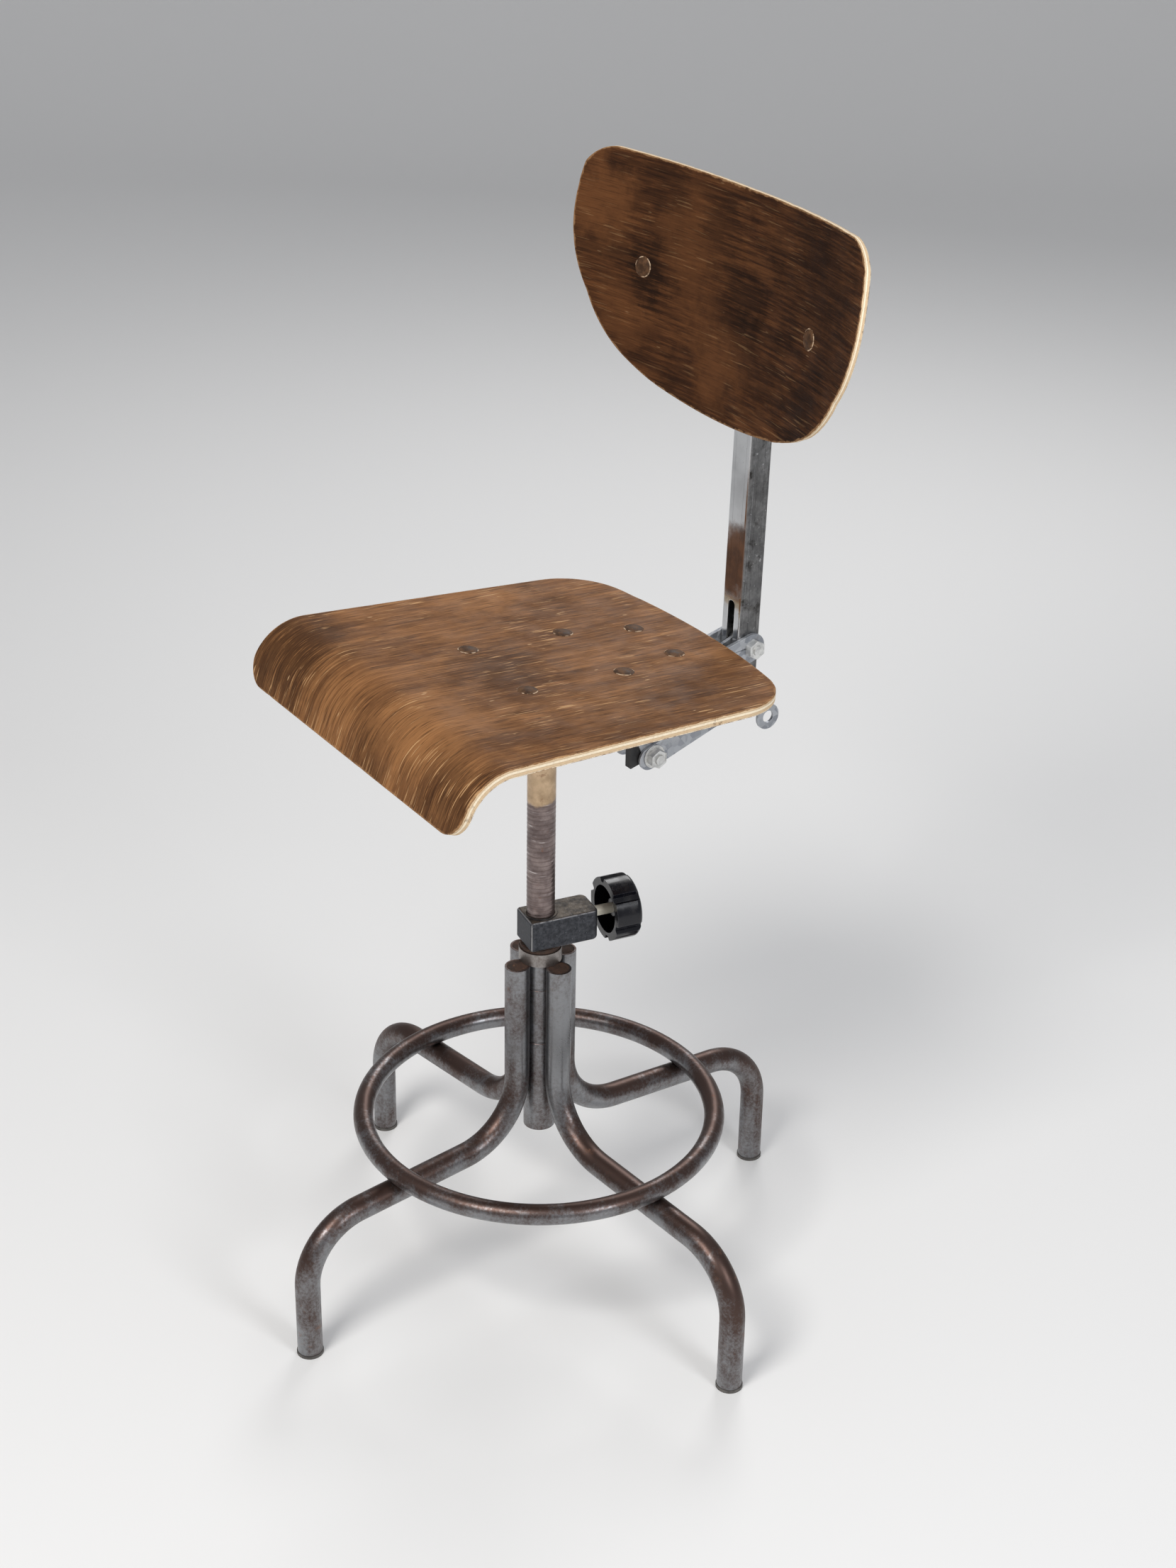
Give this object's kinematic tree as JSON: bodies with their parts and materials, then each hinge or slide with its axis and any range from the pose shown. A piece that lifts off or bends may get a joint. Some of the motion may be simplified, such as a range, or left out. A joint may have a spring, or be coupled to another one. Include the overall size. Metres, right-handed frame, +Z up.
{
  "type": "drafting chair",
  "caption": "Drafting chair: four bent tube legs with a welded foot ring, a screw spindle with a clamp knob, a plywood seat with a waterfall front and a plywood back on a tilting post.",
  "frame": {"origin": "the column axis on the floor", "axes": "+Z up, the sitter looks along -Y, the sitter's left is +X"},
  "size_m": [0.5931, 0.5955, 1.0924],
  "materials": {
    "leg_steel": "worn brown-grey steel, rusty at the ends",
    "bare_steel": "worn bare steel",
    "rusty_steel": "orange rust",
    "glide_nylon": "worn nylon",
    "cast_grey": "dark grey cast, worn edges",
    "bush_brass": "dull brass",
    "knob_black": "glossy black phenolic",
    "stud_pale": "pale zinc",
    "guide_white": "nylon",
    "galvanised": "spangled galvanised sheet",
    "bolt_zinc": "zinc plated",
    "bolt_brown": "browned heads",
    "bumper_rubber": "black rubber",
    "post_chrome": "stained chrome",
    "cap_plastic": "black cap",
    "seat_ply": "walnut-stained plywood, pale layered edges",
    "back_ply": "walnut-stained plywood, pale layered edges"
  },
  "bodies": {
    "base": {"column_tube": "leg_steel", "leg_1": "leg_steel", "leg_2": "leg_steel", "leg_3": "leg_steel", "leg_4": "leg_steel", "leg_top_plugs": "rusty_steel", "foot_glide_1": "glide_nylon", "foot_glide_2": "glide_nylon", "foot_glide_3": "glide_nylon", "foot_glide_4": "glide_nylon", "foot_ring": "leg_steel", "top_collar": "bare_steel", "thrust_washer": "rusty_steel", "clamp_block": "cast_grey", "threaded_bush": "cast_grey"},
    "guide": {"guide_ring": "guide_white"},
    "seat": {"spindle": "bare_steel", "spindle_end_washer": "bare_steel", "spindle_end_screw": "bare_steel", "seat_hub": "bare_steel", "hub_pin": "bare_steel", "seat_board": "seat_ply", "seat_plate": "galvanised", "seat_bolts": "bolt_brown", "seat_nuts": "bolt_zinc", "cheek_left": "galvanised", "cheek_right": "galvanised", "ear_doubler_left": "galvanised", "ear_doubler_right": "galvanised", "guide_tongue": "galvanised", "rear_pivot_bolt": "bolt_zinc", "rear_pivot_nut": "bolt_zinc", "tilt_bolt": "bolt_zinc", "tilt_nut": "bolt_zinc", "tilt_washers": "bolt_zinc", "tilt_spacer": "bolt_zinc", "rubber_bumper": "bumper_rubber"},
    "lock_pad": {"pressure_pad": "bush_brass"},
    "knob": {"lock_knob": "knob_black", "knob_stud": "stud_pale"},
    "post": {"back_post": "post_chrome", "pivot_sleeve": "bolt_zinc", "post_cap": "cap_plastic", "link_pin": "bolt_zinc", "link_pin_spacers": "bolt_zinc"},
    "link": {"tilt_link_left": "galvanised", "tilt_link_right": "galvanised"},
    "back": {"back_board": "back_ply", "back_strap": "bare_steel", "back_bracket": "bare_steel", "back_bolts": "bolt_brown", "back_nuts": "bolt_zinc", "back_pivot_bolt": "bolt_zinc", "back_pivot_nut": "bolt_zinc"}
  },
  "joints": [
    {"name": "seat_rise", "type": "slide", "parent": "base", "child": "guide", "axis": [0, 0, 1], "range_m": [-0.1001, 0.0601]},
    {"name": "seat_turn", "type": "hinge", "parent": "guide", "child": "seat", "pos_m": [0, 0, 0.274], "axis": [0, 0, 1], "range_deg": [-7200, 4320]},
    {"name": "lock_travel", "type": "slide", "parent": "base", "child": "lock_pad", "axis": [0.1805, 0.9836, 0], "range_m": [-0.00031, 0.00301]},
    {"name": "lock_turn", "type": "hinge", "parent": "lock_pad", "child": "knob", "pos_m": [0.01249, 0.06806, 0.3912], "axis": [0.1805, 0.9836, 0], "range_deg": [-72, 720]},
    {"name": "post_tilt", "type": "hinge", "parent": "seat", "child": "post", "pos_m": [0, 0.2365, 0.636], "axis": [1, 0, 0], "range_deg": [-7, 5]},
    {"name": "link_swing", "type": "hinge", "parent": "post", "child": "link", "pos_m": [0, 0.2335, 0.589], "axis": [1, 0, 0], "range_deg": [-6, 8.5]},
    {"name": "back_tilt", "type": "hinge", "parent": "post", "child": "back", "pos_m": [0, 0.24232, 0.97968], "axis": [1, 0, 0], "range_deg": [-7, 12]}
  ],
  "couplings": [
    {"joint": "seat_rise", "follows": "seat_turn", "m_per_rad": 0.00079577},
    {"joint": "lock_travel", "follows": "lock_turn", "m_per_rad": 0.00023873},
    {"joint": "link_swing", "follows": "post_tilt", "ratio": -1.1507}
  ]
}
